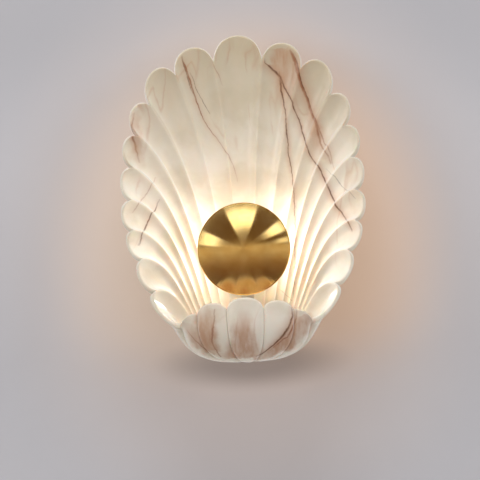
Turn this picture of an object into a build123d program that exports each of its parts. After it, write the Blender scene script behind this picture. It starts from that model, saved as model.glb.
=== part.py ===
"""Shell wall sconce: a fluted stone shell with a domed brass disc that hides a vertical bulb.

Frame: X to the right, Y into the wall, Z up. The wall is the plane Y = 0 and the lamp stands on
its negative side. The origin is on the wall, on the axis of the hub that fastens the shell.
"""
import os
from math import cos, pi, radians, sin, sqrt

from build123d import *

# ---------------------------------------------------------------- shell, mm
shell_height = 350
shell_width = 260
shell_depth = 130
shell_wall = 8
hub_height = 115  # from the lowest point of the shell up to the hub's axis

# The flutes run from the pole, under the bowl, up to the notches between the petals.
pole_stand_off = 82  # from the wall to the pole's axis
pole_radius = 6
waist_half_width = 66.5
waist_to_back = 52  # from the pole's axis to the back of the waist
waist_height = 57
rim_wall = 5.5  # the wall thins towards the rim
flute_depth = 0.18  # of the flute's own width
corner_depth = 0.14  # the same where the fan meets the lip
rim_flare = 10  # how far the rim leans forward at the top
side_flare = 12  # how much more it leans at the sides
edge_round = 3  # bulge of the rim's rounded edge

# Notches of one side from the top petal round to the lip: the flute's angle about the pole, then
# half width, stand-off and height as shares of the shell's half width, depth and height, and the
# rise of the petal that ends at the notch, as a share of the petal's width.
fan_notches = [
    (6, 0.200, 0.28, 0.917, 0.63),
    (18, 0.515, 0.31, 0.878, 0.62),
    (30, 0.731, 0.355, 0.785, 0.60),
    (41, 0.838, 0.41, 0.690, 0.50),
    (50, 0.888, 0.46, 0.593, 0.38),
    (58.5, 0.900, 0.515, 0.493, 0.28),
    (67, 0.890, 0.575, 0.400, 0.26),
    (76, 0.815, 0.645, 0.311, 0.20),
    (85, 0.705, 0.74, 0.213, 0.16),
]
lip_notches = [
    (116, 0.495, 0.86, 0.108, 0.20),
    (131, 0.365, 0.92, 0.134, 0.30),
    (157, 0.142, 0.95, 0.143, 0.34),
]
lip_rise = 0.36  # of the petal at the lip's middle
petal_lean = 0.4  # how far the lowest flank petal's crown leans to its upper end

# Control points of a flute between pole and notch. A point of the floor is a share of the way and
# a height above the middle of the floor's thickness.
fan_floor = [(0.45, 1), (0.8, 11), (1, 32)]  # from the pole to the waist
neck_height = (0.43, 0.30)  # of the way from waist to notch: at the top, and more at the sides
shoulder_height = (0.77, 0.25)  # the same, nearer the rim
shoulder_reach = 0.65
lip_floor = [(0.25, 0), (0.5, 0), (0.8, 2), (0.97, 10)]  # from the pole to the notch
lip_turn = (0, -3, -16)  # the last point, from the notch
lip_corner_turn = (-7.5, 11.25, -6)  # the same at the lip's outermost notch

# Across a flute, as shares of its width or depth: the outside is a convex rib between sharp
# creases, the inside a concave gutter between softly rounded crests.
crease_place = 0.05
crease_depth = 0.8
rib_depth = 1.2
crest_place = 0.07
crest_height = 0.07  # of the ridge above the wall, on the fan only
gutter_depth = 2.0
gutter_place = 0.10
crown_place = 0.22

# ---------------------------------------------------------------- hub and mounting, mm
hub_diameter = 76
hub_rear = 20  # stand-off of the hub's rear face
hub_length = 22
wire_hole = 14  # through the hub
gasket_thickness = 1.5
gasket_margin = 2  # a gasket's radius is this much less than its metal's

stud_diameter = 4
stud_spacing = 56
stud_clearance = 0.5
stud_tail = 4.5  # beyond the front plate
washer_diameter = 9
washer_thickness = 0.8
cap_nut_across = 7
cap_nut_hex_height = 3.2
cap_nut_dome = 0.94  # of half the hexagon's width across

wall_plate_diameter = 78
wall_plate_thickness = 2
cable_entry = 14
slot_spacing = 56
slot_width = 4.5
slot_length = 12

pan_diameter = 88
pan_wall = 1.2
pan_corner = 3

front_plate_diameter = 70
front_plate_thickness = 1.5
bush_neck = 12
bush_flange = 17
bush_bore = 9
bush_flange_thickness = 1.5
bush_depth = 4  # of the neck behind the front plate's face

small_screw = 3  # thread of the small screws
small_head = 6
small_head_height = 2.4
small_head_slot = 0.75
screw_clearance = 0.2

# ---------------------------------------------------------------- lamp carrier and bulb, mm
strap_width = 14
strap_thickness = 1.5
strap_bend = 3  # inner radius
strap_top = -9  # height of the rear leg's end
strap_floor = -46  # height of the strap's lower face
strap_reach = 88  # stand-off of the face that carries the disc
strap_crown = 7  # of the front leg above the disc's axis
strap_screw_heights = (-15, -27)

bulb_stand_off = 68
holder_diameter = 16
holder_height = 20
holder_foot_length = 29
holder_foot_height = 4
holder_screw_spacing = 22.8
pin_spacing = 9
pin_diameter = 1.5
pin_length = 16
pin_clearance = 0.4
bulb_gap = 0.3

bulb_base_diameter = 15
bulb_base_height = 14
bulb_glass_diameter = 17
bulb_glass_height = 44
bulb_glass_wall = 1
core_width = 9
core_height = 34

# ---------------------------------------------------------------- disc, mm
disc_diameter = 96
disc_rim = 92  # stand-off of the disc's rim
disc_rise = 14
disc_thickness = 1.2
disc_bead = 2.4
boss_diameter = 12
disc_screw = 4
disc_screw_head = 7
disc_screw_grip = 8

# ---------------------------------------------------------------- wiring, mm
lead_diameter = 2
lead_clearance = 0.3
lead_spread = 3  # of each lead from the middle
lead_drop = 5.5  # from the front plate's face to the leads that hang before it
lead_height = -37  # where the leads enter the lampholder
lead_entry = 1.5  # of a lead's end into its hole
lead_bends = (4, 6, 4)
earth_bends = (3, 5, 3, 2)
earth_sweep = 6  # of the earth lead, from its rear screw and the hub's rear face
block_length = 27
block_height = 11
block_thickness = 9
block_rise = 15.5  # from the hub's axis up to the block's middle
block_screw_spacing = 20
earth_place = (16, -14)  # of the earth screws, from the hub's axis

os.makedirs("parts", exist_ok=True)

# stand-offs from the wall of the faces that stack up along the hub's axis
pan_front = hub_rear - gasket_thickness
hub_front = hub_rear + hub_length
plate_rear = hub_front + gasket_thickness
plate_front = plate_rear + front_plate_thickness
stud_radius = stud_diameter / 2
stud_places = [(-stud_spacing / 2, 0), (stud_spacing / 2, 0)]
strap_screw_places = [(0, height) for height in strap_screw_heights]
strap_front = plate_front + strap_thickness
block_ledge = wall_plate_thickness + block_thickness / 3
block_screw_places = [
    (-block_screw_spacing / 2, block_rise),
    (block_screw_spacing / 2, block_rise),
]
wire_line = wall_plate_thickness + block_thickness / 3  # stand-off of the leads in the block
clamp_places = [(-lead_spread, block_rise), (lead_spread, block_rise)]
block_wire_places = [(-lead_spread, -wire_line), (lead_spread, -wire_line)]
holder_seat = strap_floor + strap_thickness
holder_top = holder_seat + holder_height
bulb_seat = holder_top + bulb_gap
bulb_axis = (0, -bulb_stand_off)
pin_places = [(x, -bulb_stand_off) for x in (-pin_spacing / 2, pin_spacing / 2)]
holder_screw_places = [
    (0, -bulb_stand_off - holder_screw_spacing / 2),
    (0, -bulb_stand_off + holder_screw_spacing / 2),
]


def facing(stand_off):
    """A plane parallel to the wall; its normal points out into the room."""
    return Plane(origin=(0, -stand_off, 0), x_dir=(1, 0, 0), z_dir=(0, -1, 0))


def keep(part, name):
    part.label = name
    export_step(part, f"parts/{name}.step")


# ---------------------------------------------------------------- shell shade
def shell_point(x, stand_off, height):
    """A point given by its half width, its stand-off and its height above the shell's bottom."""
    return Vector(x, -stand_off, height - hub_height)


def blend(a, b, share):
    return a + (b - a) * share


def notch_point(notch):
    angle, width, depth, height, rise = notch
    return shell_point(width * shell_width / 2, depth * shell_depth, height * shell_height)


def fan_flute(notch):
    """Control points of a flute's ridge that climbs the back wall to the fan's rim."""
    angle = radians(notch[0])
    side = angle / radians(90)
    middle = shell_wall / 2
    tip = notch_point(notch)

    def on_floor(share, height):
        x = waist_half_width * sin(angle) * share
        return shell_point(x, pole_stand_off - waist_to_back * cos(angle) * share, height)

    def up_wall(shares):
        return blend(waist.Z, tip.Z, shares[0] + shares[1] * side)

    waist = on_floor(1, waist_height)
    flare = rim_flare + side_flare * sin(pi * side)
    shoulder = Vector(
        blend(waist.X, tip.X, shoulder_reach), tip.Y + flare, up_wall(shoulder_height)
    )
    neck = Vector(waist.X, (waist.Y + shoulder.Y) / 2, up_wall(neck_height))
    pole = on_floor(0, middle) + Vector(sin(angle), cos(angle), 0) * pole_radius
    heel = [on_floor(share, middle + height) for share, height in fan_floor]
    return [pole, *heel, neck, shoulder, tip]


def lip_flute(notch):
    """Control points of a flute's ridge that runs forward and turns up into the lip."""
    angle = radians(notch[0])
    middle = shell_wall / 2
    tip = notch_point(notch)
    pole = shell_point(0, pole_stand_off, middle)

    start = pole + Vector(sin(angle), cos(angle), 0) * pole_radius
    floor = []
    for share, height in lip_floor:
        point = blend(pole, tip, share)
        floor.append(Vector(point.X, point.Y, pole.Z + height))
    turn = lip_corner_turn if notch is lip_notches[0] else lip_turn
    return [start, *floor, tip + Vector(*turn), tip]


def mirrored(points):
    return [Vector(-p.X, p.Y, p.Z) for p in points]


right_flutes = [fan_flute(n) for n in fan_notches] + [lip_flute(n) for n in lip_notches]
left_flutes = [mirrored(flute) for flute in reversed(right_flutes)]
flutes = right_flutes + left_flutes
flute_count = len(flutes)
rows = len(flutes[0])
right_rises = [n[-1] for n in fan_notches + lip_notches]
rises = right_rises + [lip_rise] + right_rises[:0:-1]  # of the petal before each notch
right_leans = [petal_lean * (notch[0] / 90) ** 3 for notch in fan_notches] + [petal_lean]
right_leans += [0] * (len(right_flutes) - len(right_leans))
leans = right_leans + [0] + [-lean for lean in right_leans[:0:-1]]
right_depths = [flute_depth] * len(right_flutes)
right_depths[len(fan_notches)] = corner_depth
depths = right_depths + [flute_depth] + right_depths[:0:-1]


def along(i, k):
    return flutes[i][min(k + 1, rows - 1)] - flutes[i][max(k - 1, 0)]


def around(i, k):
    return (flutes[(i + 1) % flute_count][k] - flutes[i - 1][k]).normalized()


def outward(i, k):
    """Direction square to the wall at a ridge's control point, away from the bowl's inside."""
    if k == 0:
        return Vector(0, 0, -1)
    return along(i, k).cross(around(i, k)).normalized()


def crest_lift(i, k):
    """How far a fan ridge's crest stands proud of the wall, towards the bowl's inside."""
    on_fan = min(i, flute_count - 1 - i) < len(fan_notches)
    if not on_fan or k in (0, rows - 1):
        return Vector(0, 0, 0)
    spacing = (flutes[(i + 1) % flute_count][k] - flutes[i - 1][k]).length / 2
    return outward(i, k) * spacing * crest_height


def petal_row(i, j, k, side):
    """Control points across the flute between ridges i and j; side is 1 outside, -1 inside."""
    wall = rim_wall if k == rows - 1 else shell_wall
    first = flutes[i][k] + outward(i, k) * side * wall / 2
    last = flutes[j][k] + outward(j, k) * side * wall / 2
    width = (last - first).length
    middle = (outward(i, k) + outward(j, k)).normalized()
    depth = 0 if k == 0 else depths[j] * width
    if side > 0:
        near = blend(first, last, crease_place) + outward(i, k) * depth * crease_depth
        far = blend(last, first, crease_place) + outward(j, k) * depth * crease_depth
        crown = middle * depth * rib_depth
        place = crown_place
    else:
        crown = middle * depth * gutter_depth
        place = gutter_place
    rise = blend(first, last, place) + crown
    fall = blend(last, first, place) + crown
    if side < 0:
        first -= crest_lift(i, k)
        last -= crest_lift(j, k)
        near = first + around(i, k) * width * crest_place
        far = last - around(j, k) * width * crest_place
    row = [first, near, rise, fall, far, last]
    if k == rows - 1:
        push = (tip_direction(i) + tip_direction(j)).normalized() * rises[j] * width
        lean = leans[j]
        shares = [0, 0.5 + lean, 1 + lean, 1 - lean, 0.5 - lean, 0]
        row = [point + push * share for point, share in zip(row, shares)]
    return row


def tip_direction(i):
    return (flutes[i][-1] - flutes[i][-2]).normalized()


def petal_faces(i, j):
    inside = [petal_row(i, j, k, -1) for k in range(rows)]
    outside = [petal_row(i, j, k, 1) for k in range(rows)]
    bulge = [blend(tip_direction(i), tip_direction(j), n / 5) * edge_round for n in range(6)]
    rim = [
        inside[-1],
        [point + b for point, b in zip(inside[-1], bulge)],
        [point + b for point, b in zip(outside[-1], bulge)],
        outside[-1],
    ]
    return [Face.make_bezier_surface(net) for net in (inside, outside, rim)]


def pole_cap(side):
    edges = []
    for i in range(flute_count):
        edges.append(Edge.make_bezier(*petal_row(i - 1, i, 0, side)))
    return Face(Wire(edges))


shell_faces = [pole_cap(1), pole_cap(-1)]
for i in range(flute_count):
    shell_faces += petal_faces((i - 1) % flute_count, i)
shell_skin = Solid(Shell(shell_faces))

with BuildPart() as shell_shade:
    add(shell_skin)
    with BuildSketch(facing(hub_rear)):
        Circle(hub_diameter / 2)
    extrude(amount=hub_length)
    with BuildSketch(facing(hub_rear)):
        Circle(wire_hole / 2)
        with Locations(*stud_places):
            Circle(stud_radius + stud_clearance)
    extrude(amount=hub_length, mode=Mode.SUBTRACT)
keep(shell_shade.part, "shell_shade")


# ---------------------------------------------------------------- plates, pan and gaskets
with BuildPart() as wall_plate:
    with BuildSketch(facing(0)):
        Circle(wall_plate_diameter / 2)
        Circle(cable_entry / 2, mode=Mode.SUBTRACT)
        with Locations((0, slot_spacing / 2), (0, -slot_spacing / 2)):
            SlotOverall(slot_length, slot_width, rotation=90, mode=Mode.SUBTRACT)
        with Locations(*stud_places):
            Circle(stud_radius, mode=Mode.SUBTRACT)
        with Locations(earth_place, *block_screw_places):
            Circle(small_screw / 2, mode=Mode.SUBTRACT)
    extrude(amount=wall_plate_thickness)
keep(wall_plate.part, "wall_plate")

with BuildPart() as back_pan:
    with BuildSketch(facing(0)):
        Circle(pan_diameter / 2)
    extrude(amount=pan_front)
    fillet(back_pan.edges().sort_by(Axis.Y)[0], pan_corner)
    offset(amount=-pan_wall, openings=back_pan.faces().sort_by(Axis.Y)[-1])
    with BuildSketch(facing(pan_front)):
        Circle(wire_hole / 2)
        with Locations(*stud_places):
            Circle(stud_radius + stud_clearance)
    extrude(amount=-2 * pan_wall, mode=Mode.SUBTRACT)
keep(back_pan.part, "back_pan")


def pierced_disc(start, thickness, radius, middle_hole, small_holes=()):
    """A round plate or gasket with the middle hole and the holes for the studs."""
    with BuildPart() as piece:
        with BuildSketch(facing(start)):
            Circle(radius)
            Circle(middle_hole / 2, mode=Mode.SUBTRACT)
            with Locations(*stud_places):
                Circle(stud_radius + stud_clearance, mode=Mode.SUBTRACT)
            if small_holes:
                with Locations(*small_holes):
                    Circle(small_screw / 2, mode=Mode.SUBTRACT)
        extrude(amount=thickness)
    return piece.part


rear_gasket_radius = hub_diameter / 2 - gasket_margin
rear_gasket = pierced_disc(pan_front, gasket_thickness, rear_gasket_radius, wire_hole)
keep(rear_gasket, "rear_gasket")

front_gasket_radius = front_plate_diameter / 2 - gasket_margin
front_gasket = pierced_disc(hub_front, gasket_thickness, front_gasket_radius, wire_hole)
keep(front_gasket, "front_gasket")

front_plate = pierced_disc(
    plate_rear,
    front_plate_thickness,
    front_plate_diameter / 2,
    bush_neck,
    [earth_place, *strap_screw_places],
)
keep(front_plate, "front_plate")

with BuildPart() as wire_bush:
    with BuildSketch(facing(plate_front)):
        Circle(bush_flange / 2)
    extrude(amount=bush_flange_thickness)
    fillet(wire_bush.edges().sort_by(Axis.Y)[0], bush_flange_thickness / 3)
    with BuildSketch(facing(plate_front)):
        Circle(bush_neck / 2)
    extrude(amount=-bush_depth)
    with BuildSketch(facing(plate_front - bush_depth)):
        Circle(bush_bore / 2)
    extrude(amount=bush_depth + bush_flange_thickness, mode=Mode.SUBTRACT)
keep(wire_bush.part, "wire_bush")

# ---------------------------------------------------------------- studs, washers and nuts
with BuildPart() as wall_studs:
    with BuildSketch(facing(0)):
        with Locations(*stud_places):
            Circle(stud_radius)
    extrude(amount=plate_front + stud_tail)
    chamfer(wall_studs.edges().group_by(Axis.Y)[0], stud_radius / 4)
keep(wall_studs.part, "wall_studs")

with BuildPart() as stud_washers:
    with BuildSketch(facing(plate_front)):
        with Locations(*stud_places):
            Circle(washer_diameter / 2)
            Circle(stud_radius + screw_clearance, mode=Mode.SUBTRACT)
    extrude(amount=washer_thickness)
keep(stud_washers.part, "stud_washers")

nut_seat = plate_front + washer_thickness
nut_dome = cap_nut_across / 2 * cap_nut_dome
with BuildPart() as cap_nuts:
    with BuildSketch(facing(nut_seat)):
        with Locations(*stud_places):
            RegularPolygon(cap_nut_across / 2, 6, major_radius=False)
    extrude(amount=cap_nut_hex_height)
    with Locations(*[(x, -nut_seat - cap_nut_hex_height, z) for x, z in stud_places]):
        Sphere(nut_dome)
    with BuildSketch(facing(nut_seat)):
        with Locations(*stud_places):
            Circle(stud_radius)
    extrude(amount=stud_tail - washer_thickness + screw_clearance, mode=Mode.SUBTRACT)
    with BuildSketch(facing(nut_seat)):
        Circle(stud_spacing)
    extrude(amount=-nut_dome, mode=Mode.SUBTRACT)
keep(cap_nuts.part, "cap_nuts")


def face_screws(places, head_seat, tip, name):
    """Pan-head screws that point to the wall, from their heads' seat back to their tips."""
    with BuildPart() as screws:
        with BuildSketch(facing(head_seat)):
            with Locations(*places):
                Circle(small_head / 2)
        extrude(amount=small_head_height)
        fillet(screws.edges().group_by(Axis.Y)[0], small_head_height / 3)
        with BuildSketch(facing(head_seat + small_head_height)):
            with Locations(*places):
                Rectangle(small_head, small_head_slot)
        extrude(amount=-small_head_height / 3, mode=Mode.SUBTRACT)
        with BuildSketch(facing(head_seat)):
            with Locations(*places):
                Circle(small_screw / 2)
        extrude(amount=tip - head_seat)
    keep(screws.part, name)
    return screws.part


strap_screws = face_screws(strap_screw_places, strap_front, plate_rear, "strap_screws")
block_screws = face_screws(block_screw_places, block_ledge, 0, "block_screws")
rear_earth_screw = face_screws([earth_place], wall_plate_thickness, 0, "rear_earth_screw")
front_earth_screw = face_screws([earth_place], plate_front, plate_rear, "front_earth_screw")

# ---------------------------------------------------------------- lamp strap
with BuildPart() as lamp_strap:
    with BuildSketch(Plane.YZ) as strap_side:
        with BuildLine():
            Polyline(
                (-plate_front, strap_top),
                (-plate_front, strap_floor),
                (-strap_reach, strap_floor),
                (-strap_reach, strap_crown),
                (-strap_reach + strap_thickness, strap_crown),
                (-strap_reach + strap_thickness, holder_seat),
                (-strap_front, holder_seat),
                (-strap_front, strap_top),
                close=True,
            )
        make_face()
        outer_corners = strap_side.vertices().group_by(Axis.Y)[0]
        inner_corners = strap_side.vertices().group_by(Axis.Y)[1]
        fillet(outer_corners, strap_bend + strap_thickness)
        fillet(inner_corners, strap_bend)
    extrude(amount=strap_width / 2, both=True)
    fillet(lamp_strap.edges().filter_by(Axis.Y).group_by(Axis.Z)[-1], strap_width * 0.4)
    with BuildSketch(facing(strap_reach)):
        Circle(disc_screw / 2 + screw_clearance)
    extrude(amount=-strap_thickness, mode=Mode.SUBTRACT)
    with BuildSketch(facing(plate_front)):
        with Locations(*strap_screw_places):
            Circle(small_screw / 2 + screw_clearance)
    extrude(amount=strap_thickness, mode=Mode.SUBTRACT)
    with BuildSketch(Plane.XY.offset(strap_floor)):
        with Locations(*holder_screw_places):
            Circle(small_screw / 2)
    extrude(amount=strap_thickness, mode=Mode.SUBTRACT)
keep(lamp_strap.part, "lamp_strap")

# ---------------------------------------------------------------- lampholder
lead_places = [(-lead_spread, lead_height), (lead_spread, lead_height)]
lead_hole = lead_diameter / 2 + lead_clearance
holder_side = bulb_stand_off - sqrt((holder_diameter / 2) ** 2 - lead_spread**2)

with BuildPart() as lampholder:
    with BuildSketch(Plane.XY.offset(holder_seat)):
        with Locations(bulb_axis):
            RectangleRounded(strap_width, holder_foot_length, strap_width / 4)
        with Locations(*holder_screw_places):
            Circle(small_screw / 2 + screw_clearance, mode=Mode.SUBTRACT)
    extrude(amount=holder_foot_height)
    with BuildSketch(Plane.XY.offset(holder_seat)):
        with Locations(bulb_axis):
            Circle(holder_diameter / 2)
    extrude(amount=holder_height)
    chamfer(lampholder.edges().group_by(Axis.Z)[-1], 1)
    with BuildSketch(Plane.XY.offset(holder_top)):
        with Locations(*pin_places):
            Circle(pin_diameter / 2 + pin_clearance)
    extrude(amount=-pin_length - bulb_gap, mode=Mode.SUBTRACT)
    with BuildSketch(facing(holder_side + lead_entry)):
        with Locations(*lead_places):
            Circle(lead_hole)
    extrude(amount=-lead_entry - lead_spread, mode=Mode.SUBTRACT)
keep(lampholder.part, "lampholder")

screw_seat = holder_seat + holder_foot_height
with BuildPart() as holder_screws:
    with BuildSketch(Plane.XY.offset(strap_floor)):
        with Locations(*holder_screw_places):
            Circle(small_screw / 2)
    extrude(amount=screw_seat - strap_floor)
    with BuildSketch(Plane.XY.offset(screw_seat)):
        with Locations(*holder_screw_places):
            Circle(small_head / 2)
    extrude(amount=small_head_height)
    fillet(holder_screws.edges().group_by(Axis.Z)[-1], small_head_height / 3)
keep(holder_screws.part, "holder_screws")

# ---------------------------------------------------------------- bulb
with BuildPart() as bulb_pins:
    with BuildSketch(Plane.XY.offset(bulb_seat)):
        with Locations(*pin_places):
            Circle(pin_diameter / 2)
    extrude(amount=-pin_length)
    fillet(bulb_pins.edges().group_by(Axis.Z)[0], pin_diameter / 4)
keep(bulb_pins.part, "bulb_pins")

glass_seat = bulb_seat + bulb_base_height
with BuildPart() as bulb_base:
    with BuildSketch(Plane.XY.offset(bulb_seat)):
        with Locations(bulb_axis):
            Circle(bulb_base_diameter / 2)
    extrude(amount=bulb_base_height)
    chamfer(bulb_base.edges().group_by(Axis.Z)[0], 1)
keep(bulb_base.part, "bulb_base")

with BuildPart() as bulb_glass:
    with BuildSketch(Plane.XY.offset(glass_seat)):
        with Locations(bulb_axis):
            Circle(bulb_glass_diameter / 2)
    extrude(amount=bulb_glass_height)
    fillet(bulb_glass.edges().group_by(Axis.Z)[-1], bulb_glass_diameter * 0.4)
    offset(amount=-bulb_glass_wall, openings=bulb_glass.faces().sort_by(Axis.Z)[0])
keep(bulb_glass.part, "bulb_glass")

with BuildPart() as bulb_core:
    with BuildSketch(Plane.XY.offset(glass_seat)):
        with Locations(bulb_axis):
            RegularPolygon(core_width / 2, 8, major_radius=False)
    extrude(amount=core_height)
    chamfer(bulb_core.edges().group_by(Axis.Z)[-1], 1)
keep(bulb_core.part, "bulb_core")

# ---------------------------------------------------------------- disc and its fixing
disc_radius = disc_diameter / 2
dome_radius = (disc_radius**2 + disc_rise**2) / (2 * disc_rise)
dome_centre = disc_rim + disc_rise - dome_radius  # stand-off of the dome's centre
inner_radius = dome_radius - disc_thickness
bead_radius = disc_bead / 2


def dome_stand_off(radius, from_axis):
    return dome_centre + sqrt(radius**2 - from_axis**2)


def dome_reach(radius, stand_off):
    return sqrt(radius**2 - (stand_off - dome_centre) ** 2)


def dome_arc(radius):
    reach = dome_reach(radius, disc_rim)
    return ThreePointArc(
        (-dome_stand_off(radius, 0), 0),
        (-dome_stand_off(radius, reach / 2), reach / 2),
        (-disc_rim, reach),
    )


with BuildPart() as reflector_disc:
    with BuildSketch(Plane.YZ):
        with BuildLine():
            outer = dome_arc(dome_radius)
            inner = dome_arc(inner_radius)
            Line(outer @ 0, inner @ 0)
            Line(outer @ 1, inner @ 1)
        make_face()
    revolve(axis=Axis.Y)
    with BuildSketch(Plane.YZ):
        with Locations((-disc_rim, disc_radius - bead_radius)):
            Circle(bead_radius)
    revolve(axis=Axis.Y)
keep(reflector_disc.part, "reflector_disc")

with BuildPart() as disc_boss:
    with BuildSketch(facing(strap_reach)):
        Circle(boss_diameter / 2)
    extrude(amount=dome_stand_off(inner_radius, boss_diameter / 2) - strap_reach)
    with BuildSketch(facing(strap_reach)):
        Circle(disc_screw / 2)
    extrude(amount=disc_screw_grip + screw_clearance, mode=Mode.SUBTRACT)
keep(disc_boss.part, "disc_boss")

washer_seat = strap_reach - strap_thickness
head_seat = washer_seat - washer_thickness
with BuildPart() as disc_washer:
    with BuildSketch(facing(head_seat)):
        Circle(washer_diameter / 2)
        Circle(disc_screw / 2 + screw_clearance, mode=Mode.SUBTRACT)
    extrude(amount=washer_thickness)
keep(disc_washer.part, "disc_washer")

with BuildPart() as disc_screw_part:
    with BuildSketch(facing(head_seat)):
        Circle(disc_screw_head / 2)
    extrude(amount=-small_head_height)
    fillet(disc_screw_part.edges().sort_by(Axis.Y)[-1], small_head_height / 3)
    with BuildSketch(facing(head_seat)):
        Circle(disc_screw / 2)
    extrude(amount=strap_reach + disc_screw_grip - head_seat)
keep(disc_screw_part.part, "disc_screw")

# ---------------------------------------------------------------- terminal block and leads
block_front = wall_plate_thickness + block_thickness
block_foot = block_rise - block_height / 2
clamp_depth = block_thickness / 3
with BuildPart() as terminal_block:
    with BuildSketch(facing(wall_plate_thickness)):
        with Locations((0, block_rise)):
            Rectangle(block_length, block_height)
    extrude(amount=block_thickness)
    fillet(terminal_block.edges().filter_by(Axis.Y), 1)
    # a low ledge at each end for the fixing screws
    with BuildSketch(facing(block_ledge)):
        with Locations(*block_screw_places):
            Rectangle(small_head + 1, block_height)
    extrude(amount=block_thickness, mode=Mode.SUBTRACT)
    with BuildSketch(facing(wall_plate_thickness)):
        with Locations(*block_screw_places):
            Circle(small_screw / 2 + screw_clearance)
    extrude(amount=block_thickness, mode=Mode.SUBTRACT)
    # clamp screws sit in wells in the front; wires enter from below and above
    with BuildSketch(facing(block_front)):
        with Locations(*clamp_places):
            Circle(small_screw / 2)
    extrude(amount=-clamp_depth, mode=Mode.SUBTRACT)
    with BuildSketch(Plane.XY.offset(block_foot)):
        with Locations(*block_wire_places):
            Circle(lead_hole)
    extrude(amount=block_height, mode=Mode.SUBTRACT)
keep(terminal_block.part, "terminal_block")

with BuildPart() as clamp_screws:
    with BuildSketch(facing(block_front - clamp_depth)):
        with Locations(*clamp_places):
            Circle(small_screw / 2)
    extrude(amount=clamp_depth * 0.8)
keep(clamp_screws.part, "clamp_screws")


def lead(points, radii, name):
    """An insulated lead: a round wire along straight runs joined by arcs."""
    with BuildPart() as wire:
        with BuildLine() as route:
            FilletPolyline(*points, radius=radii)
        with BuildSketch(Plane(origin=route.line @ 0, z_dir=route.line % 0)):
            Circle(lead_diameter / 2)
        sweep()
    keep(wire.part, name)
    return wire.part


def supply_route(x):
    """From the terminal block, through the hub and the bush, down to the lampholder."""
    hanging = -plate_front - lead_drop
    return [
        (x, -wire_line, block_foot + lead_entry),
        (x, -wire_line, 0),
        (x, hanging, 0),
        (x, hanging, lead_height),
        (x, -holder_side - lead_entry / 2, lead_height),
    ]


live_lead = lead(supply_route(lead_spread), lead_bends, "live_lead")
neutral_lead = lead(supply_route(-lead_spread), lead_bends, "neutral_lead")

earth_x, earth_z = earth_place
earth_end = earth_x - small_head / 2 - lead_diameter * 0.4  # beside the screws' heads
earth_front = -plate_front - bush_flange_thickness - lead_diameter * 0.8
earth_route = [
    (earth_end, -wall_plate_thickness - small_head_height / 2, earth_z),
    (earth_end - earth_sweep, -wall_plate_thickness - small_head_height, earth_z + earth_sweep),
    (0, -hub_rear + earth_sweep, -lead_spread),
    (0, earth_front, -lead_spread),
    (earth_end - earth_bends[0] - 1, earth_front, earth_z + earth_bends[0] + 1),
    (earth_end, -plate_front - small_head_height / 2, earth_z),
]
earth_lead = lead(earth_route, earth_bends, "earth_lead")
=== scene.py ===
import math

import bmesh
import bpy
from mathutils import Matrix, Vector


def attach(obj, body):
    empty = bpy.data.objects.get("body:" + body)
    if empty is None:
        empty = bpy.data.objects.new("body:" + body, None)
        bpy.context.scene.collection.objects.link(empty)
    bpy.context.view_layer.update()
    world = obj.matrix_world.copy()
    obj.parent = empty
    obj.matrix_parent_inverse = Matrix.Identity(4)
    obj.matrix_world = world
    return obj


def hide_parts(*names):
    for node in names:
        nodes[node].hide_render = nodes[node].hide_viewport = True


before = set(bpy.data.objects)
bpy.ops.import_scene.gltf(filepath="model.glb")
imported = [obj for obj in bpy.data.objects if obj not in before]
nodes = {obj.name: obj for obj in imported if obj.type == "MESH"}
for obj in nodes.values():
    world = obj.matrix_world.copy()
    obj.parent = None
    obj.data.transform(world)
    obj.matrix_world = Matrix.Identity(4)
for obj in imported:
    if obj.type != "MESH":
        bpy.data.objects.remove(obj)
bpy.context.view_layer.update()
scene = bpy.context.scene
scene.view_settings.view_transform = "Standard"


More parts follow.
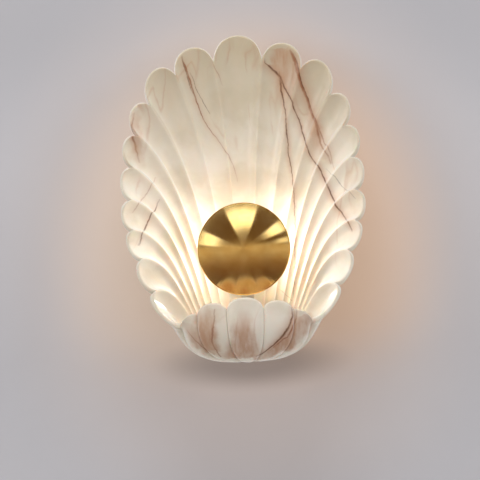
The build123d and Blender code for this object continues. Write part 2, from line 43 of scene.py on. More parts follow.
class Value:
    # one socket of a material, with arithmetic
    def __init__(self, tree, socket=None):
        self.tree = tree
        self.socket = socket

    def node(self, kind, settings=None, inputs=None, output=0):
        made = self.tree.nodes.new(kind)
        for name, setting in (settings or {}).items():
            if name == "stops":
                setStops(made.color_ramp, setting)
            else:
                setattr(made, name, setting)
        for name, given in (inputs or {}).items():
            if isinstance(given, Value):
                self.tree.links.new(given.socket, made.inputs[name])
            else:
                made.inputs[name].default_value = given
        return Value(self.tree, made.outputs[output]) if len(made.outputs) else None

    def twin(self, output):
        # another output of the same node
        return Value(self.tree, self.socket.node.outputs[output])

    def maths(self, operation, first, second=None, clamp=False):
        inputs = {0: first} if second is None else {0: first, 1: second}
        return self.node("ShaderNodeMath", {"operation": operation, "use_clamp": clamp}, inputs)

    def __add__(self, other):
        return self.maths("ADD", self, other)

    def __radd__(self, other):
        return self.maths("ADD", other, self)

    def __sub__(self, other):
        return self.maths("SUBTRACT", self, other)

    def __rsub__(self, other):
        return self.maths("SUBTRACT", other, self)

    def __mul__(self, other):
        return self.maths("MULTIPLY", self, other)

    def __rmul__(self, other):
        return self.maths("MULTIPLY", other, self)

    def __truediv__(self, other):
        return self.maths("DIVIDE", self, other)

    def __rtruediv__(self, other):
        return self.maths("DIVIDE", other, self)

    def __pow__(self, other):
        return self.maths("POWER", self, other)

    def __rpow__(self, other):
        return self.maths("POWER", other, self)

    def __abs__(self):
        return self.maths("ABSOLUTE", self)

    def clamped(self):
        return self.maths("ADD", self, 0.0, clamp=True)

    def larger(self, other):
        return self.maths("MAXIMUM", self, other)

    def between(self, low, high, toLow=0.0, toHigh=1.0):
        # a smooth step from toLow at low to toHigh at high
        settings = {"interpolation_type": "SMOOTHSTEP"}
        inputs = {0: self, 1: low, 2: high, 3: toLow, 4: toHigh}
        return self.node("ShaderNodeMapRange", settings, inputs)

    def vector(self, operation, other=None, scale=None):
        inputs = {0: self}
        if other is not None:
            inputs[1] = other
        if scale is not None:
            inputs["Scale"] = scale
        return self.node("ShaderNodeVectorMath", {"operation": operation}, inputs)

    def parts(self):
        across = self.node("ShaderNodeSeparateXYZ", {}, {0: self})
        return across, across.twin(1), across.twin(2)

    def noise(self, scale, detail, roughness, output=0):
        inputs = {"Vector": self, "Scale": scale, "Detail": detail, "Roughness": roughness}
        return self.node("ShaderNodeTexNoise", {}, inputs, output)

    def mix(self, other, share):
        # a plain colour comes as its three levels
        if isinstance(other, tuple):
            other = (*other, 1.0)
        return self.node("ShaderNodeMix", {"data_type": "RGBA"}, {0: share, 6: self, 7: other}, 2)

    def ramp(self, *stops):
        return self.node("ShaderNodeValToRGB", {"stops": stops}, {0: self})


def setStops(ramp, stops):
    while len(ramp.elements) > 1:
        ramp.elements.remove(ramp.elements[-1])
    for number, (place, colour) in enumerate(stops):
        element = ramp.elements[0] if number == 0 else ramp.elements.new(place)
        element.position = place
        element.color = (*colour, 1.0)


def srgb(red, green, blue):
    # a colour as read off a swatch, 0 to 255, turned into the shader's own scale
    out = []
    for level in (red, green, blue):
        level /= 255
        out.append(level / 12.92 if level <= 0.04045 else ((level + 0.055) / 1.055) ** 2.4)
    return tuple(out)


def dimmed(colour, share):
    return tuple(level * share for level in colour)


def startMaterial(name):
    # returns the material and the place on the piece in millimetres
    made = bpy.data.materials.new(name)
    made.use_nodes = True
    made.node_tree.nodes.clear()
    place = Value(made.node_tree).node("ShaderNodeTexCoord", {}, {}, "Object")
    return made, place.vector("SCALE", scale=1000.0)


def paintOf(made, inputs, height=None, bump=None):
    # the surface shader, with a bump of (strength, distance in metres) where a height is given
    seed = Value(made.node_tree)
    inputs = dict(inputs)
    if height is not None:
        strength, distance = bump
        inputs["Normal"] = seed.node(
            "ShaderNodeBump", {}, {"Strength": strength, "Distance": distance, "Height": height})
    return seed.node("ShaderNodeBsdfPrincipled", {}, inputs)


def endMaterial(made, surface):
    surface.node("ShaderNodeOutputMaterial", {}, {"Surface": surface})
    return made


def dress(node, made):
    materials = nodes[node].data.materials
    materials.clear()
    materials.append(made)


# camera
camera = {
    "azimuth": 2.5, "elevation": -4.0, "roll": -2.5,  # degrees, from straight in front
    "distance": 1.5, "target": (-0.0049, -0.060, 0.0115), "lens": 106.9,
}


def makeCamera():
    azimuth, elevation, roll = (math.radians(camera[k]) for k in ("azimuth", "elevation", "roll"))
    right = Vector((math.cos(azimuth), math.sin(azimuth), 0))
    back = Vector((math.sin(azimuth) * math.cos(elevation), -math.cos(azimuth) * math.cos(elevation),
                   math.sin(elevation)))
    up = back.cross(right)
    turnedRight = right * math.cos(roll) + up * math.sin(roll)
    turnedUp = up * math.cos(roll) - right * math.sin(roll)
    eye = Vector(camera["target"]) + back * camera["distance"]
    data = bpy.data.cameras.new("camera")
    data.lens = camera["lens"]
    data.sensor_width = 36
    data.clip_start, data.clip_end = 0.01, 50
    made = bpy.data.objects.new("camera", data)
    scene.collection.objects.link(made)
    rows = [[turnedRight[i], turnedUp[i], back[i], eye[i]] for i in range(3)]
    made.matrix_world = Matrix([*rows, [0, 0, 0, 1]])
    scene.camera = made


makeCamera()
print("camera made")

# wall and floor
roomSize = {"wide": 9.0, "floor": -1.4, "top": 7.0, "gap": 0.0004}  # the gap keeps the wall off the lamp
# ovals round the disc's axis as (height of the middle, half the width, half the height) in millimetres
wallPaint = {
    "colour": srgb(212, 211, 217), "warm": srgb(230, 218, 215),
    "glowLeft": srgb(255, 232, 214), "glowRight": srgb(255, 220, 192), "shade": srgb(134, 124, 122),
    "grain": (0.006, 4.0, 0.6), "grainShare": 0.97, "stipple": (0.35, 3.0, 0.5), "bump": (0.15, 0.0004),
    "shadedTopShare": 0.84, "shadedTopHeights": (90.0, 270.0),
    "shellOval": (12.0, 150.0, 172.0), "bowlOval": (-118.0, 88.0, 26.0),
    "warmReach": (0.9, 2.1, 0.9, 0.0), "glowReach": (0.78, 1.62, 1.0, 0.0), "glowShare": 0.85,
    "glowHeights": (-175.0, -60.0), "glowSides": (-60.0, 60.0), "shadeReach": (0.35, 1.35, 0.62, 0.0),
    "roughness": 0.85, "specular": 0.2,
}
floorPaint = {
    "colour": srgb(214, 211, 208), "grain": (0.01, 4.0, 0.6), "grainShare": 0.96, "roughness": 0.7,
    "lift": 0.25,
}


def makeSheet(name, corners, made):
    mesh = bpy.data.meshes.new(name)
    mesh.from_pydata(corners, [], [(0, 1, 2, 3)])
    mesh.materials.append(made)
    piece = bpy.data.objects.new(name, mesh)
    scene.collection.objects.link(piece)
    return piece


def insideOval(across, upward, oval):
    # 0 in the oval's middle and 1 on its edge
    middle, halfWidth, halfHeight = oval
    raised = upward - middle
    sideways = (across * across) / (halfWidth * halfWidth)
    return (sideways + (raised * raised) / (halfHeight * halfHeight)) ** 0.5


def makeWall():
    s = wallPaint
    made, place = startMaterial("wallPaint")
    across, _, upward = place.parts()
    fromShell = insideOval(across, upward, s["shellOval"])
    speckled = dimmed(s["colour"], s["grainShare"])
    colour = place.noise(*s["grain"]).ramp((0.35, speckled), (0.65, s["colour"]))
    # painted shade: the wall darker towards the top
    colour = colour.mix(dimmed(s["colour"], s["shadedTopShare"]), upward.between(*s["shadedTopHeights"]))
    # the lamp's warm light on the wall, stronger to the right
    near = fromShell.between(*s["glowReach"]) * upward.between(*s["glowHeights"])
    glow = across.between(*s["glowSides"]).ramp((0.0, s["glowLeft"]), (1.0, s["glowRight"]))
    colour = colour.mix(s["warm"], fromShell.between(*s["warmReach"])).mix(glow, near * s["glowShare"])
    # the soft shade close under the bowl
    below = insideOval(across, upward, s["bowlOval"])
    colour = colour.mix(s["shade"], below.between(*s["shadeReach"]))
    paint = paintOf(made, {"Base Color": colour, "Roughness": s["roughness"],
                           "Specular IOR Level": s["specular"]}, place.noise(*s["stipple"]), s["bump"])
    # the wall has a front only, so that the back of the lamp can be looked at
    clear = place.node("ShaderNodeBsdfTransparent")
    behind = place.node("ShaderNodeNewGeometry", {}, {}, "Backfacing")
    endMaterial(made, place.node("ShaderNodeMixShader", {}, {0: behind, 1: paint, 2: clear}))
    half, gap = roomSize["wide"] / 2, roomSize["gap"]
    low, high = roomSize["floor"], roomSize["top"]
    corners = [(-half, gap, low), (half, gap, low), (half, gap, high), (-half, gap, high)]
    wall = makeSheet("wall", corners, made)
    wall.visible_shadow = False
    wall.visible_diffuse = False
    wall.visible_glossy = False


def makeFloor():
    s = floorPaint
    made, place = startMaterial("floorPaint")
    speckled = dimmed(s["colour"], s["grainShare"])
    colour = place.noise(*s["grain"]).ramp((0.3, speckled), (0.7, s["colour"]))
    endMaterial(made, paintOf(made, {"Base Color": colour, "Roughness": s["roughness"],
                                     "Emission Color": colour, "Emission Strength": s["lift"]}))
    half, low = roomSize["wide"] / 2, roomSize["floor"]
    corners = [(-half, -half, low), (half, -half, low), (half, half, low), (-half, half, low)]
    floor = makeSheet("floor", corners, made)
    floor.visible_glossy = False


makeWall()
makeFloor()
print("wall and floor made")

# lamps: metres, watts
lamps = {
    "overhead": {"place": (0.0, -0.85, 1.75), "size": (1.2, 0.8), "power": 16.0,
                 "colour": (1.0, 0.99, 0.97)},
    "leftPanel": {"place": (-1.55, -0.95, 0.35), "size": (0.5, 0.9), "power": 6.6,
                  "colour": (1.0, 0.98, 0.96)},
    "rightPanel": {"place": (1.55, -0.95, 0.35), "size": (0.5, 0.9), "power": 5.8,
                   "colour": (1.0, 0.98, 0.96)},
    "backFill": {"place": (-0.4, 1.9, 0.7), "size": (1.2, 1.2), "power": 7.0,
                 "colour": (1.0, 1.0, 1.0)},
}
lampsMirrored = ["backFill"]  # polished metal shows the sky's panels instead of the other lamps
lampsTarget = (0, -0.06, 0.04)


def makeLamps():
    for name, s in lamps.items():
        data = bpy.data.lights.new(name, "AREA")
        data.shape = "RECTANGLE"
        data.size, data.size_y = s["size"]
        data.energy = s["power"]
        data.color = s["colour"]
        lamp = bpy.data.objects.new(name, data)
        scene.collection.objects.link(lamp)
        lamp.location = s["place"]
        towards = Vector(lampsTarget) - lamp.location
        lamp.rotation_euler = towards.to_track_quat("-Z", "Y").to_euler()
        lamp.visible_glossy = name in lampsMirrored


makeLamps()
print("lamps made")

# sky: even light, a pale backdrop, and what polished surfaces show of the room
sky = {"light": (1.0, 0.99, 0.985), "lightLevel": 0.36, "seen": srgb(206, 204, 204)}
# the mirrored room is laid out as on a round mirror seen from the front, 1 being the disc's edge
mirrored = {
    "reach": 0.54, "bands": (-1.0, 0.95),
    "upper": srgb(104, 82, 66), "middle": srgb(204, 182, 150), "lower": srgb(134, 104, 80),
    "ground": srgb(70, 50, 40),
    # past what the disc can show, a bright ceiling and bright sides for the edges of the shell
    "surround": (1.5, 1.47, 1.42), "surroundFrom": (1.08, 1.24), "surroundHeights": (-0.9, 0.1),
    "behind": srgb(226, 224, 222), "behindFrom": (0.05, 0.6),
    # dark upright seams, by their place across
    "seams": [0.46, -0.62], "seamWidth": (0.0, 0.05, 0.7, 0.0), "seamHeights": (0.1, 0.25, 1.0, 0.0),
    # bright panels as (angle from straight up, half its spread, nearest, furthest, level)
    "panels": [(-0.07, 0.36, 0.52, 0.92, 2.6), (-1.22, 0.15, 0.62, 0.98, 2.2),
               (0.98, 0.13, 0.60, 0.95, 2.3), (1.32, 0.06, 0.74, 0.98, 1.5)],
    "panelColour": (1.0, 0.97, 0.90), "softSides": 0.03, "softNear": 0.05, "softFar": 0.04,
}


def mirroredRoom(seed):
    s = mirrored
    toRight, toFront, upward = seed.node("ShaderNodeTexCoord", {}, {}, "Generated").parts()
    spread = ((1.0 - toFront) * 2.0).larger(0.001) ** 0.5 * s["reach"]
    right, high = toRight / spread, upward / spread
    fromMiddle = (right * right + high * high) ** 0.5
    angle = right.maths("ARCTAN2", right, high)
    shade = high.between(*s["bands"]).ramp(
        (0.0, s["ground"]), (0.3, s["lower"]), (0.52, s["middle"]), (0.60, s["middle"]),
        (0.66, s["upper"]), (1.0, s["upper"]))
    beyond = fromMiddle.between(*s["surroundFrom"]) * high.between(*s["surroundHeights"])
    shade = shade.mix(s["surround"], beyond)
    shade = shade.mix(s["behind"], toFront.between(*s["behindFrom"]))
    for seam in s["seams"]:
        line = abs(right - seam).between(*s["seamWidth"]) * high.between(*s["seamHeights"])
        shade = shade.mix(s["ground"], line)
    for middle, half, nearest, furthest, level in s["panels"]:
        sides, near, far = s["softSides"], s["softNear"], s["softFar"]
        lit = abs(angle - middle).between(half - sides, half + sides, 1.0, 0.0)
        lit = lit * fromMiddle.between(nearest - near, nearest + near)
        lit = lit * fromMiddle.between(furthest - far, furthest + far, 1.0, 0.0)
        shade = shade.mix(dimmed(s["panelColour"], level), lit)
    return shade


def makeSky():
    world = bpy.data.worlds.new("room")
    world.use_nodes = True
    world.node_tree.nodes.clear()
    seed = Value(world.node_tree)

    def background(colour, strength=1.0):
        return seed.node("ShaderNodeBackground", {}, {"Color": colour, "Strength": strength})

    cameraRay = seed.node("ShaderNodeLightPath", {}, {}, "Is Camera Ray")
    glossyRay, throughRay = cameraRay.twin("Is Glossy Ray"), cameraRay.twin("Is Transmission Ray")
    light = background((*sky["light"], 1.0), sky["lightLevel"])
    seen = background((*sky["seen"], 1.0))
    mirror = background(mirroredRoom(seed))
    plain = seed.node("ShaderNodeMixShader", {}, {0: cameraRay.larger(throughRay), 1: light, 2: seen})
    whole = seed.node("ShaderNodeMixShader", {}, {0: glossyRay, 1: plain, 2: mirror})
    seed.node("ShaderNodeOutputWorld", {}, {"Surface": whole})
    scene.world = world


makeSky()
print("sky made")

# marble shell
marble = {
    "ground": [srgb(222, 210, 190), srgb(236, 227, 211), srgb(244, 237, 225)],
    "topShade": srgb(206, 192, 164), "beige": srgb(222, 200, 176), "tan": srgb(192, 138, 104),
    "blush": srgb(196, 150, 120), "brown": srgb(98, 56, 30), "rust": srgb(150, 88, 54),
    "grey": srgb(132, 122, 110), "rimHighlight": srgb(252, 249, 243),
    # noises as (scale for each millimetre, detail, roughness)
    "broad": (0.012, 5.0, 0.55), "fine": (0.05, 4.0, 0.6), "cloud": (0.018, 4.0, 0.5),
    "flush": (0.009, 3.0, 0.5), "topShadeEdge": (0.02, 3.0, 0.5), "broken": (0.11, 3.0, 0.6),
    "thread": (0.018, 3.0, 0.5), "threadPlace": (0.016, 2.0, 0.5), "streak": (0.16, 4.0, 0.6),
    "gloss": (0.08, 3.0, 0.6), "swell": (0.045, 3.0, 0.5), "pores": (0.5, 2.0, 0.5),
    # how far the pattern wanders, in millimetres
    "driftReach": 60.0, "threadReach": 26.0, "patchReach": 16.0, "veinReach": 6.0, "topShadeReach": 90.0,
    "topShadeHeights": (70.0, 235.0), "topShadeShare": 0.8, "beigeShare": 0.5, "threadShare": 0.35,
    "threadStretch": (1.0, 0.3, 0.22), "threadSharpness": 70.0, "streakStretch": (1.0, 0.5, 0.25),
    "lineWidth": 0.55, "stainWidth": 5.0, "stainShare": 0.75, "patchShare": 0.85, "poreShare": 0.04,
    "roughness": (0.16, 0.26), "bump": (0.12, 0.002),
    "sockets": {"Specular IOR Level": 0.5, "Subsurface Weight": 0.22, "Subsurface Scale": 0.006,
                "Subsurface Radius": (1.0, 0.62, 0.42), "Coat Weight": 0.25, "Coat Roughness": 0.08},
}
# each vein: its colour, the share of stain beside it, and its points as
# (height, place across, width, strength) in millimetres
veins = {
    "notchBand": ("brown", 0.8, [
        (208, 29, 1.2, 0.7), (206, 33, 3, 1), (199, 39, 3.8, 1), (192, 45, 3.6, 1), (177, 46, 2.4, 1),
        (154, 49, 1.6, 0.95), (137, 49, 1.5, 0.9), (122, 49, 1.4, 0.85), (100, 50, 1.3, 0.8),
        (81, 53, 1.2, 0.7), (53, 54, 1.2, 0.7), (15, 54, 1.1, 0.65), (-22, 51, 1.1, 0.6),
        (-52, 48, 1.1, 0.4)]),
    "rightLong": ("brown", 0.7, [
        (194, 44, 1.2, 0.5), (178, 50, 2, 1), (162, 57, 1.8, 1), (153, 59, 1.9, 1), (140, 63, 2, 1),
        (121, 67, 1.8, 0.9), (98, 75, 1.8, 0.9), (81, 83, 2, 0.95), (66, 89, 2.2, 1), (38, 99, 2.2, 1),
        (24, 107, 2.2, 0.95), (13, 112, 1.8, 0.7)]),
    "rustBand": ("rust", 0.9, [
        (217, 57, 3, 0.5), (213, 59, 3.4, 0.8), (204, 62, 3.6, 0.9), (185, 65, 3.8, 1),
        (168, 71, 3.8, 0.95), (149, 76, 3.2, 0.9), (138, 79, 3, 0.85), (124, 82, 2.8, 0.8),
        (105, 87, 2.4, 0.6), (88, 95, 2.2, 0.35)]),
    "rustEdge": ("brown", 0.1, [
        (213, 60, 1, 0.3), (204, 63, 1.3, 0.7), (185, 66, 1.5, 0.9), (168, 72, 1.4, 0.85),
        (149, 77, 1.2, 0.7), (136, 80, 1, 0.5), (124, 83, 0.9, 0.25)]),
    "rustSide": ("rust", 0.5, [
        (160, 74, 1.2, 0.2), (143, 79, 1.6, 0.5), (123, 85, 1.8, 0.6), (106, 92, 1.6, 0.5),
        (81, 99, 1.2, 0.2)]),
    "leftLong": ("rust", 0.4, [
        (216, -60, 1.8, 0.5), (207, -57, 2.4, 0.95), (193, -54, 2.4, 0.95), (178, -50, 2, 0.9),
        (153, -43, 1.8, 0.85), (138, -36, 1.6, 0.75), (123, -26, 1.4, 0.7), (106, -16, 1.3, 0.6),
        (92, -10, 1.2, 0.5), (76, -6, 1.1, 0.25)]),
    "leftTop": ("brown", 0.1, [
        (215, -60, 1, 0.4), (204, -58, 1.3, 0.7), (185, -54, 1.3, 0.7), (169, -49, 1, 0.3)]),
    "leftTwin": ("brown", 0.15, [
        (198, -52, 1, 0.3), (180, -47, 1.2, 0.6), (166, -40, 1.2, 0.7), (151, -33, 1.1, 0.4)]),
    "leftSoft": ("rust", 0.4, [
        (210, -29, 1.2, 0.1), (202, -25, 1.6, 0.4), (191, -21, 1.6, 0.4), (180, -17, 1.2, 0.1)]),
    "leftStrand": ("rust", 0.6, [
        (154, -112, 1.4, 0.2), (141, -115, 2.4, 0.6), (127, -114, 2.8, 0.75), (113, -112, 2.4, 0.6),
        (99, -108, 1.6, 0.2)]),
    "leftDark": ("brown", 0.35, [
        (60, -89, 1.4, 0.4), (50, -94, 2.2, 0.85), (36, -101, 2.4, 0.95), (22, -107, 2.4, 0.9),
        (10, -111, 2, 0.4)]),
    "leftFaint": ("rust", 0.4, [
        (84, -93, 1.2, 0.2), (74, -98, 1.6, 0.5), (58, -108, 1.8, 0.55), (44, -117, 1.4, 0.3)]),
    "greyHair": ("grey", 0.1, [
        (85, 89, 1, 0.3), (75, 98, 1.2, 0.6), (60, 109, 1.3, 0.7), (48, 117, 1.2, 0.4)]),
    "lowThin": ("rust", 0.2, [(-41, 33, 1, 0.2), (-47, 39, 1.4, 0.5), (-55, 46, 1.4, 0.5)]),
    "lipLine": ("rust", 0.6, [
        (-61, -31, 1.4, 0.3), (-70, -31, 1.8, 0.5), (-82, -34, 2, 0.6), (-94, -35, 2, 0.7),
        (-102, -31, 1.8, 0.7), (-110, -26, 1.6, 0.6)]),
    "lipDark": ("brown", 0.8, [
        (-61, 47, 1.6, 0.5), (-70, 48, 2.4, 0.9), (-80, 44, 2.8, 1), (-86, 40, 3.2, 1),
        (-94, 35, 3.2, 1), (-101, 27, 3, 1), (-106, 19, 2.6, 0.9), (-111, 9, 2.2, 0.6)]),
    "lipTwin": ("rust", 0.5, [
        (-64, 52, 1.6, 0.3), (-74, 51, 2.2, 0.7), (-84, 46, 2.4, 0.8), (-92, 41, 2.4, 0.8),
        (-100, 32, 2.2, 0.6), (-106, 23, 1.8, 0.2)]),
    "lipSide": ("rust", 0.4, [
        (-81, -60, 1.2, 0.2), (-89, -54, 1.6, 0.5), (-98, -46, 1.8, 0.5), (-105, -36, 1.6, 0.3)]),
}
# soft tan patches: points as (height, place across, half the width, strength) in millimetres
patches = {
    "petalBlush": [(220, 45, 12, 0.7), (211, 45, 14, 1), (199, 47, 13, 0.7), (178, 55, 10, 0.4),
                   (156, 63, 7, 0.1)],
    "lipLeft": [(-54, -44, 9, 0.1), (-64, -42, 12, 0.6), (-78, -42, 14, 1), (-92, -40, 14, 1),
                (-104, -33, 12, 0.8)],
    "lipMiddle": [(-61, -3, 10, 0.05), (-73, -3, 14, 0.5), (-85, -4, 17, 0.95), (-98, -5, 20, 1),
                  (-113, -4, 26, 1)],
    "lipRight": [(-70, 60, 10, 0.4), (-78, 58, 14, 0.95), (-88, 52, 16, 1), (-97, 43, 16, 1),
                 (-105, 32, 14, 1), (-113, 17, 12, 0.7)],
    "lipFar": [(-74, -60, 8, 0.2), (-86, -55, 10, 0.6), (-97, -47, 10, 0.7), (-106, -34, 9, 0.6)],
    "rightFlush": [(141, 73, 6, 0.1), (127, 77, 10, 0.5), (114, 80, 9, 0.5), (94, 85, 7, 0.15)],
    "leftFlush": [(156, -110, 6, 0.1), (140, -113, 9, 0.6), (118, -110, 9, 0.6), (97, -106, 6, 0.1)],
}


def followPoints(across, along, points):
    # how far a spot lies from a line through the points, and the line's width and strength there
    points = sorted(points)
    low, high = points[0][0], points[-1][0]
    sides = [p[1] for p in points]
    left, span = min(sides) - 1.0, max(sides) - min(sides) + 2.0
    widest = max(p[2] for p in points)
    share = (along - low) / (high - low)
    # a ramp carries the three as its colours, with no strength beyond the line's two ends
    stops = [(0.02 + 0.96 * ((p[0] - low) / (high - low)), ((p[1] - left) / span, p[2] / widest, p[3]))
             for p in points]
    first, last = ((*stops[k][1][:2], 0.0) for k in (0, -1))
    middle, width, strength = share.ramp((0.0, first), *stops, (1.0, last)).parts()
    return abs(across - (middle * span + left)), width * widest, strength


def makeMarble():
    s = marble
    made, place = startMaterial("polishedMarble")
    broad = place.noise(*s["broad"], output=1).vector("SUBTRACT", (0.5, 0.5, 0.5))
    fine = place.noise(*s["fine"], output=1).vector("SUBTRACT", (0.5, 0.5, 0.5))

    def moved(shift, reach):
        return place.vector("ADD", shift.vector("SCALE", scale=reach))

    drift = moved(broad, s["driftReach"])
    across, _, upward = moved(fine, s["veinReach"]).parts()
    # the cream ground, in soft clouds, with painted shade making it darker and greener towards the top
    # of the fan
    dark, middle, light = s["ground"]
    colour = drift.noise(*s["cloud"]).between(0.3, 0.7).ramp((0.0, dark), (0.45, middle), (1.0, light))
    high = upward + (drift.noise(*s["topShadeEdge"]) - 0.5) * s["topShadeReach"]
    colour = colour.mix(s["topShade"], high.between(*s["topShadeHeights"]) * s["topShadeShare"])
    colour = colour.mix(s["beige"], drift.noise(*s["flush"]).between(0.52, 0.78) * s["beigeShare"])
    # a few faint threads through the rest of the stone, nearly straight
    threads = moved(broad, s["threadReach"]).vector("MULTIPLY", s["threadStretch"])
    ridge = (1.0 - abs(threads.noise(*s["thread"]) - 0.5) * s["threadSharpness"]).larger(0.0) ** 1.5
    placed = drift.noise(*s["threadPlace"]).between(0.46, 0.64)
    colour = colour.mix(s["tan"], ridge * placed * s["threadShare"])
    # the tan patches, streaked along the height
    wide, _, tall = moved(fine, s["patchReach"]).parts()
    streaks = place.vector("MULTIPLY", s["streakStretch"]).noise(*s["streak"])
    streaks = streaks.between(0.3, 0.65, 0.55, 1.0)
    for points in patches.values():
        away, half, strength = followPoints(wide, tall, points)
        soft = (1.0 - away / half).between(0.0, 0.7) * strength * streaks
        colour = colour.mix(s["blush"], soft.clamped() * s["patchShare"])
    # the veins: a wide stain, and a line that breaks up in places
    broken = place.noise(*s["broken"]).between(0.25, 0.6, 0.5, 1.0)
    for tint, stained, points in veins.values():
        away, width, strength = followPoints(across, upward, points)
        stain = (1.0 - away / (width * s["stainWidth"])).larger(0.0) ** 2.0 * strength
        core = (1.0 - away / (width * s["lineWidth"])).larger(0.0) ** 0.7 * strength
        colour = colour.mix(s["tan"], (stain * stained * s["stainShare"]).clamped())
        colour = colour.mix(s[tint], (core * broken).clamped())
    # painted highlight: the rounded rims and the sides of the ridges are painted paler, except where
    # they face down
    _, facing, skyward = place.node("ShaderNodeNewGeometry", {}, {}, "Normal").parts()
    rimHighlightShare = abs(facing).between(0.25, 0.75, 0.75, 0.0) * skyward.between(-0.6, -0.1)
    colour = colour.mix(s["rimHighlight"], rimHighlightShare)
    gloss = place.noise(*s["gloss"]).between(0.3, 0.7, *s["roughness"])
    height = place.noise(*s["swell"]) + place.noise(*s["pores"]) * s["poreShare"]
    inputs = {"Base Color": colour, "Roughness": gloss, **s["sockets"]}
    return endMaterial(made, paintOf(made, inputs, height, s["bump"]))


dress("shell_shade", makeMarble())
print("marble shell dressed")

# domed disc, spun from sheet, in metres
disc = {
    "radius": 0.048, "rim": 0.092, "rise": 0.014, "thickness": 0.0012, "bead": 0.0012,
    "outerReach": 0.55, "innerReach": 1.15,  # how far inside the edge the two skins end, in beads
    "beadFrom": 62, "beadTurn": 280,  # degrees
    "around": 192, "steps": 56, "beadSteps": 20, "crowding": 0.92,
    "colour": srgb(242, 209, 138), "deep": srgb(235, 198, 122), "pale": srgb(247, 218, 152),
    "lines": (2.6, 4.0, 0.7), "cloud": (0.06, 4.0, 0.55), "bump": (0.02, 0.0002),
    "roughness": (0.145, 0.175), "anisotropic": 1.0, "anisotropicTurn": 0.25,
}


def discProfile():
    # (distance from the axis, height along it), from the crown over the rim to the inside's middle
    s = disc
    domeRadius = (s["radius"] ** 2 + s["rise"] ** 2) / (2 * s["rise"])
    centre = s["rim"] + s["rise"] - domeRadius
    beadMiddle = s["radius"] - s["bead"]
    profile = []
    reach = s["radius"] - s["bead"] * s["outerReach"]
    for k in range(s["steps"] + 1):
        r = reach * (k / s["steps"]) ** s["crowding"]
        profile.append((r, centre + math.sqrt(domeRadius ** 2 - r ** 2)))
    # round the rolled rim
    for k in range(s["beadSteps"] + 1):
        turn = math.radians(s["beadFrom"] - k * s["beadTurn"] / s["beadSteps"])
        profile.append((beadMiddle + s["bead"] * math.cos(turn), s["rim"] + s["bead"] * math.sin(turn)))
    # back along the inside
    inner = domeRadius - s["thickness"]
    reach = beadMiddle - s["bead"] * s["innerReach"]
    for k in range(s["steps"] + 1):
        r = reach * (1 - k / s["steps"])
        profile.append((r, centre + math.sqrt(inner ** 2 - r ** 2)))
    return profile


def spin(name, profile, around):
    mesh = bmesh.new()
    rings = []
    for r, height in profile:
        if r < 1e-6:
            rings.append([mesh.verts.new((0, 0, height))])
            continue
        angles = [2 * math.pi * n / around for n in range(around)]
        rings.append([mesh.verts.new((r * math.cos(a), r * math.sin(a), height)) for a in angles])
    for first, second in zip(rings, rings[1:]):
        for n in range(max(len(first), len(second))):
            corners = [first[n % len(first)], second[n % len(second)],
                       second[(n + 1) % len(second)], first[(n + 1) % len(first)]]
            mesh.faces.new(list(dict.fromkeys(corners)))
    bmesh.ops.recalc_face_normals(mesh, faces=mesh.faces)
    data = bpy.data.meshes.new(name)
    mesh.to_mesh(data)
    mesh.free()
    for face in data.polygons:
        face.use_smooth = True
    piece = bpy.data.objects.new(name, data)
    scene.collection.objects.link(piece)
    return piece


def makeSpunGold():
    s = disc
    made, place = startMaterial("spunGold")
    across, upward, _ = place.parts()
    fromAxis = (across * across + upward * upward) ** 0.5
    ring = fromAxis.node("ShaderNodeCombineXYZ", {}, {0: fromAxis})
    lines = ring.noise(*s["lines"])
    cloud = place.noise(*s["cloud"])
    tone = (cloud * 0.7 + lines * 0.3).between(0.3, 0.7)
    gloss = (cloud * 0.5 + lines * 0.5).between(0.3, 0.7, *s["roughness"])
    inputs = {
        "Base Color": tone.ramp((0.0, s["deep"]), (0.5, s["colour"]), (1.0, s["pale"])),
        "Metallic": 1.0, "Roughness": gloss,
        "Anisotropic": s["anisotropic"], "Anisotropic Rotation": s["anisotropicTurn"]}
    return endMaterial(made, paintOf(made, inputs, lines, s["bump"]))


def makeDisc():
    piece = spin("goldDisc", discProfile(), disc["around"])
    piece.rotation_euler = (math.radians(90), 0, 0)  # its own axis points out into the room
    piece.data.materials.append(makeSpunGold())
    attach(piece, "lamp")
    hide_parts("reflector_disc")


makeDisc()
print("disc made")

# bulb
glass = {
    "tint": srgb(250, 246, 236), "smeared": srgb(240, 236, 226), "smear": (0.25, 3.0, 0.6),
    "alpha": 0.10, "edgeAlpha": 0.35, "smearAlpha": 0.06, "edge": 0.35,
    "roughness": (0.03, 0.08), "bump": (0.05, 0.0005),
    "sockets": {"Specular IOR Level": 0.8, "Coat Weight": 0.5, "Coat Roughness": 0.03},
}
phosphor = {
    "body": srgb(242, 226, 190), "chip": srgb(250, 206, 96), "speckle": (1.4, 3.0, 0.6),
    "pitch": 3.4, "chipEdge": (0.28, 0.36, 1.0, 0.0),  # millimetres from chip to chip, and its share
    "glow": (1.0, 0.975, 0.94), "glowBetween": 0.55, "level": 118.0,
    "roughness": 0.5, "bump": (0.2, 0.0003),
}


def makeGlass():
    s = glass
    made, place = startMaterial("clearGlass")
    smear = place.noise(*s["smear"])
    edge = place.node("ShaderNodeLayerWeight", {}, {"Blend": s["edge"]}, "Facing")
    inputs = {
        "Base Color": smear.ramp((0.3, s["smeared"]), (0.7, s["tint"])),
        "Roughness": smear.between(0.3, 0.7, *s["roughness"]),
        "Alpha": (edge * s["edgeAlpha"] + s["alpha"] + smear * s["smearAlpha"]).clamped(),
        **s["sockets"]}
    return endMaterial(made, paintOf(made, inputs, smear, s["bump"]))


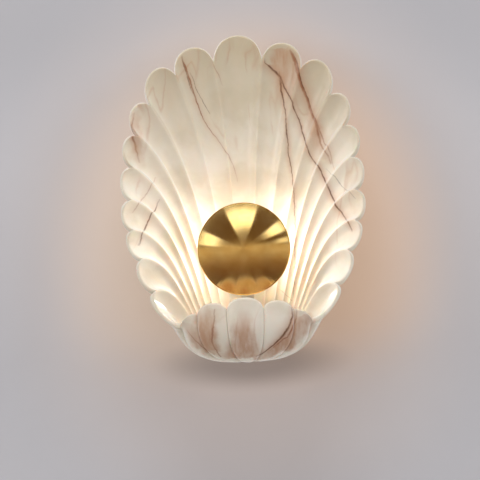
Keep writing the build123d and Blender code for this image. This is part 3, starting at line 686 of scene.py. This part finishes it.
def makePhosphor():
    # a column of small chips under a glowing coat
    s = phosphor
    made, place = startMaterial("glowingPhosphor")
    turns = place.parts()[2] / s["pitch"]
    chips = abs(turns.maths("FRACT", turns) - 0.5).between(*s["chipEdge"])
    speckle = place.noise(*s["speckle"])
    inputs = {
        "Base Color": (speckle * 0.3 + chips * 0.7).ramp((0.1, s["body"]), (0.8, s["chip"])),
        "Roughness": s["roughness"],
        "Emission Color": (chips * 0.85 + speckle * 0.3).ramp(
            (0.1, dimmed(s["glow"], s["glowBetween"])), (0.9, s["glow"])),
        "Emission Strength": s["level"]}
    return endMaterial(made, paintOf(made, inputs, speckle, s["bump"]))


dress("bulb_glass", makeGlass())
dress("bulb_core", makePhosphor())
print("bulb dressed")

# ceramic, metal, plastic and rubber
bulbCeramic = {
    "dark": srgb(212, 205, 190), "colour": srgb(226, 220, 206), "light": srgb(236, 231, 219),
    "cloud": 0.12, "grain": 1.6, "roughness": (0.42, 0.6), "bump": (0.25, 0.0003),
}
pinMetal = {
    "dark": srgb(168, 166, 162), "colour": srgb(196, 194, 190), "light": srgb(214, 212, 208),
    "cloud": 0.4, "grain": 2.5, "stretch": (1.0, 1.0, 0.08), "roughness": (0.18, 0.32),
    "bump": (0.1, 0.0002), "sockets": {"Metallic": 1.0},
}
turnedBrass = {
    "dark": srgb(176, 136, 74), "colour": srgb(206, 164, 96), "light": srgb(224, 186, 120),
    "cloud": 0.2, "grain": 1.8, "stretch": (0.3, 3.0, 0.3), "roughness": (0.2, 0.34),
    "bump": (0.15, 0.0003), "sockets": {"Metallic": 1.0},
}
whiteEnamel = {
    "dark": srgb(216, 212, 204), "colour": srgb(226, 223, 216), "light": srgb(233, 230, 224),
    "cloud": 0.03, "grain": 0.9, "roughness": (0.28, 0.42), "bump": (0.22, 0.0004),
    "sockets": {"Coat Weight": 0.3, "Coat Roughness": 0.2},
}
zincPlate = {
    "dark": srgb(150, 152, 152), "colour": srgb(176, 178, 178), "light": srgb(200, 201, 199),
    "cloud": 0.12, "grain": 0.7, "stretch": (1.0, 1.0, 0.3), "roughness": (0.3, 0.5),
    "bump": (0.15, 0.0003), "sockets": {"Metallic": 1.0},
}
brightNickel = {
    "dark": srgb(178, 176, 170), "colour": srgb(204, 202, 196), "light": srgb(220, 218, 212),
    "cloud": 0.3, "grain": 2.2, "roughness": (0.12, 0.24), "bump": (0.06, 0.0002),
    "sockets": {"Metallic": 1.0},
}
gasketRubber = {
    "dark": srgb(158, 153, 146), "colour": srgb(176, 171, 163), "light": srgb(190, 185, 177),
    "cloud": 0.08, "grain": 1.4, "roughness": (0.72, 0.9), "bump": (0.4, 0.0004),
}
mouldedWhite = {
    "dark": srgb(206, 205, 198), "colour": srgb(222, 221, 215), "light": srgb(232, 231, 226),
    "cloud": 0.1, "grain": 1.8, "roughness": (0.4, 0.55), "bump": (0.2, 0.0003),
}
glazedSteatite = {
    "dark": srgb(214, 209, 196), "colour": srgb(228, 224, 212), "light": srgb(238, 235, 225),
    "cloud": 0.1, "grain": 0.9, "roughness": (0.12, 0.22), "bump": (0.15, 0.0004),
    "sockets": {"Coat Weight": 0.5, "Coat Roughness": 0.08},
}
finishes = {
    "bulbCeramic": (bulbCeramic, ["bulb_base"]),
    "pinMetal": (pinMetal, ["bulb_pins"]),
    "turnedBrass": (turnedBrass, ["disc_boss", "clamp_screws"]),
    "whiteEnamel": (whiteEnamel, ["back_pan", "front_plate", "lamp_strap"]),
    "zincPlate": (zincPlate, ["wall_plate", "wall_studs", "stud_washers", "disc_washer"]),
    "brightNickel": (brightNickel, ["cap_nuts", "strap_screws", "holder_screws", "disc_screw",
                                    "block_screws", "rear_earth_screw", "front_earth_screw"]),
    "gasketRubber": (gasketRubber, ["rear_gasket", "front_gasket"]),
    "mouldedWhite": (mouldedWhite, ["wire_bush", "terminal_block"]),
    "glazedSteatite": (glazedSteatite, ["lampholder"]),
}


def makeFinish(name, s):
    # a plain finish with its own grain: colour shifts, uneven gloss and a fine surface
    made, place = startMaterial(name)
    cloud = place.noise(s["cloud"], 4.0, 0.55)
    grain = place.noise(s["grain"], 3.0, 0.6)
    fine = place.vector("MULTIPLY", s.get("stretch", (1.0, 1.0, 1.0))).noise(s["grain"] * 2.0, 2.0, 0.6)
    tone = (cloud * 0.65 + grain * 0.35).between(0.32, 0.68)
    inputs = {
        "Base Color": tone.ramp((0.0, s["dark"]), (0.55, s["colour"]), (1.0, s["light"])),
        "Roughness": fine.between(0.3, 0.7, *s["roughness"]), **s.get("sockets", {})}
    return endMaterial(made, paintOf(made, inputs, fine * 0.7 + cloud * 0.3, s["bump"]))


for name, (settings, members) in finishes.items():
    made = makeFinish(name, settings)
    for member in members:
        dress(member, made)
print("mounting dressed")

# leads, the earth with a stripe wound round it
sleeves = {
    "live_lead": ("liveSleeve", srgb(112, 66, 42), None),
    "neutral_lead": ("neutralSleeve", srgb(52, 96, 166), None),
    "earth_lead": ("earthSleeve", srgb(88, 150, 52), srgb(226, 206, 70)),
}
sleeve = {
    "speck": (1.2, 3.0, 0.6), "darkShare": 0.8, "roughness": (0.38, 0.52), "bump": (0.15, 0.0002),
    "stripeAcross": 1.4, "stripeAlong": 0.9, "stripeEdge": (-0.1, 0.1),
}


def makeSleeve(name, plain, stripe):
    s = sleeve
    made, place = startMaterial(name)
    speck = place.noise(*s["speck"])
    colour = speck.between(0.3, 0.7).ramp((0.0, dimmed(plain, s["darkShare"])), (1.0, plain))
    if stripe:
        across, along, _ = place.parts()
        wave = across.maths("SINE", along * s["stripeAlong"] + across * s["stripeAcross"])
        colour = colour.mix(stripe, wave.between(*s["stripeEdge"]))
    inputs = {"Base Color": colour, "Roughness": speck.between(0.3, 0.7, *s["roughness"])}
    return endMaterial(made, paintOf(made, inputs, speck, s["bump"]))


for node, settings in sleeves.items():
    dress(node, makeSleeve(*settings))
print("leads dressed")
